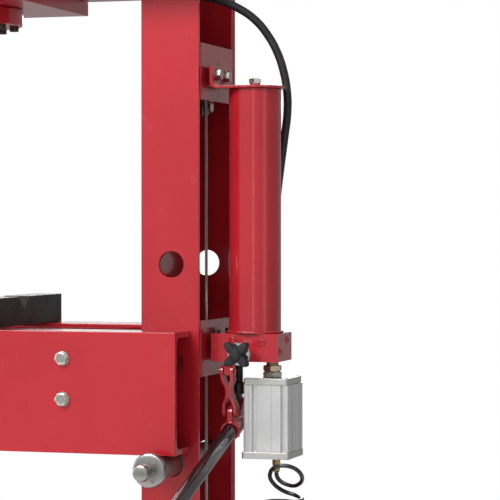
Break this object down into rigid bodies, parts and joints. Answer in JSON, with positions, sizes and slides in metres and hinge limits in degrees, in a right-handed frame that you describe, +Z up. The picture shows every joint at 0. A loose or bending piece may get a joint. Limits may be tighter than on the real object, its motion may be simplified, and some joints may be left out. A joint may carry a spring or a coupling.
{
  "type": "hydraulic shop press",
  "caption": "H-frame hydraulic shop press: air-driven pump and reservoir on the right upright, ram in the crown, pinned bed raised by a wire rope winch.",
  "frame": {"origin": "floor level, at the middle of the press's overall width and depth, pump handle included and the two hoses left out", "axes": "+Z up, -Y towards the operator, +X towards the upright that carries the pump"},
  "size_m": [1.0753, 0.921, 1.9503],
  "materials": {
    "red_paint": "gloss enamel",
    "dark_steel": "dark oiled steel",
    "steel": "bright turned steel",
    "zinc": "zinc plated",
    "aluminium": "satin anodised",
    "chrome": "polished",
    "brass": "satin",
    "black_plastic": "moulded black",
    "black_paint": "gloss black",
    "rubber": "matt hose cover",
    "wire_rope": "galvanised strands"
  },
  "bodies": {
    "frame": {"upright_right": "red_paint", "upright_left": "red_paint", "foot_right": "red_paint", "foot_left": "red_paint", "base_tie": "red_paint", "crown_beam_front": "red_paint", "crown_beam_rear": "red_paint", "crown_saddle": "red_paint", "ram_cylinder": "red_paint", "pump_plate_upper": "red_paint", "pump_plate_lower": "red_paint", "pump_block": "red_paint", "reservoir_tube": "red_paint", "reservoir_lid": "red_paint", "valve_plate": "red_paint", "lower_hex_nut": "steel", "hose_elbow": "steel", "hose_end_fitting": "steel", "gauge_case": "steel", "sheave_bracket": "zinc", "rope_anchor": "zinc", "winch_frame": "zinc", "filler_plug": "zinc", "air_motor_body": "aluminium", "motor_cap_top": "aluminium", "motor_cap_bottom": "aluminium", "air_valve": "aluminium", "valve_collar": "chrome", "upper_hex_nut": "brass", "air_inlet_fitting": "brass", "air_hose_lead": "black_plastic", "air_hose_coil": "black_plastic", "air_hose_tail": "black_plastic", "hydraulic_hose": "rubber", "rope_winch_run": "wire_rope", "rope_right_run": "wire_rope", "rope_left_run": "wire_rope"},
    "bed": {"bed_beam_front": "red_paint", "bed_beam_rear": "red_paint", "bed_spacer_right": "red_paint", "bed_spacer_left": "red_paint", "rope_under_bed": "wire_rope"},
    "bed_pulley_right": {"bed_pulley_right": "zinc"},
    "bed_pulley_left": {"bed_pulley_left": "zinc"},
    "press_block_right": {"press_block_right": "dark_steel"},
    "press_block_left": {"press_block_left": "dark_steel"},
    "ram": {"ram_rod": "chrome", "ram_pad": "steel"},
    "gauge_needle": {"gauge_needle": "black_plastic"},
    "bed_pin_right": {"bed_pin_right": "steel"},
    "bed_pin_left": {"bed_pin_left": "steel"},
    "winch_drum": {"winch_drum": "zinc"},
    "winch_crank": {"winch_crank": "dark_steel"},
    "top_sheave": {"top_sheave": "zinc"},
    "release_knob": {"release_knob": "black_plastic"},
    "swing_link": {"swing_link": "red_paint"},
    "pump_lever": {"lever_socket": "red_paint", "pump_handle": "black_paint"},
    "plunger": {"plunger": "dark_steel"},
    "valve_lever": {"valve_lever": "black_plastic"}
  },
  "joints": [
    {"name": "bed_lift", "type": "slide", "parent": "frame", "child": "bed", "axis": [0, 0, 1], "range_m": [0, 0.164], "deforming": ["rope_right_run", "rope_left_run"]},
    {"name": "pulley_right_spin", "type": "hinge", "parent": "bed", "child": "bed_pulley_right", "pos_m": [0.22415, 0.06051, 0.8613], "axis": [0, 1, 0], "continuous": true},
    {"name": "pulley_left_spin", "type": "hinge", "parent": "bed", "child": "bed_pulley_left", "pos_m": [-0.35665, 0.06051, 0.8613], "axis": [0, 1, 0], "continuous": true},
    {"name": "block_right_slide", "type": "slide", "parent": "bed", "child": "press_block_right", "axis": [1, 0, 0], "range_m": [-0.045, 0.2]},
    {"name": "block_left_slide", "type": "slide", "parent": "bed", "child": "press_block_left", "axis": [-1, 0, 0], "range_m": [-0.045, 0.2]},
    {"name": "ram_stroke", "type": "slide", "parent": "frame", "child": "ram", "axis": [0, 0, -1], "range_m": [0, 0.15], "stiffness_N_per_m": 2600, "springref_m": -0.06},
    {"name": "gauge_needle_turn", "type": "hinge", "parent": "frame", "child": "gauge_needle", "pos_m": [-0.06625, 0.06051, 1.9003], "axis": [0, 1, 0], "range_deg": [0, 270], "stiffness_Nm_per_rad": 0.002, "springref_deg": -28.65},
    {"name": "pin_right_pull", "type": "slide", "parent": "frame", "child": "bed_pin_right", "axis": [0, -1, 0], "range_m": [0, 0.3]},
    {"name": "pin_left_pull", "type": "slide", "parent": "frame", "child": "bed_pin_left", "axis": [0, -1, 0], "range_m": [0, 0.3]},
    {"name": "drum_turn", "type": "hinge", "parent": "frame", "child": "winch_drum", "pos_m": [0.39085, 0.06051, 0.5], "axis": [0, 1, 0], "continuous": true},
    {"name": "crank_turn", "type": "hinge", "parent": "frame", "child": "winch_crank", "pos_m": [0.42525, 0.06051, 0.55958], "axis": [0, 1, 0], "continuous": true},
    {"name": "sheave_spin", "type": "hinge", "parent": "frame", "child": "top_sheave", "pos_m": [0.31075, 0.06051, 1.448], "axis": [0, 1, 0], "continuous": true},
    {"name": "release_turn", "type": "hinge", "parent": "frame", "child": "release_knob", "pos_m": [0.44775, -0.03249, 0.978], "axis": [0, 1, 0], "range_deg": [0, 360]},
    {"name": "link_swing", "type": "hinge", "parent": "frame", "child": "swing_link", "pos_m": [0.41975, 0.00551, 0.948], "axis": [-1, 0, 0], "range_deg": [0, 1.2]},
    {"name": "handle_swing", "type": "hinge", "parent": "swing_link", "child": "pump_lever", "pos_m": [0.41975, 0.02251, 0.879], "axis": [-1, 0, 0], "range_deg": [0, 37]},
    {"name": "plunger_stroke", "type": "slide", "parent": "frame", "child": "plunger", "axis": [0, 0, -1], "range_m": [0, 0.0314]},
    {"name": "valve_lever_press", "type": "hinge", "parent": "frame", "child": "valve_lever", "pos_m": [0.47575, 0.04051, 0.64], "axis": [0, 1, 0], "range_deg": [0, 5], "stiffness_Nm_per_rad": 2, "springref_deg": -8.59}
  ],
  "couplings": [
    {"joint": "crank_turn", "follows": "drum_turn", "ratio": -3.6667},
    {"joint": "link_swing", "follows": "handle_swing", "ratio": 0.03},
    {"joint": "plunger_stroke", "follows": "handle_swing", "m_per_rad": 0.0484}
  ]
}
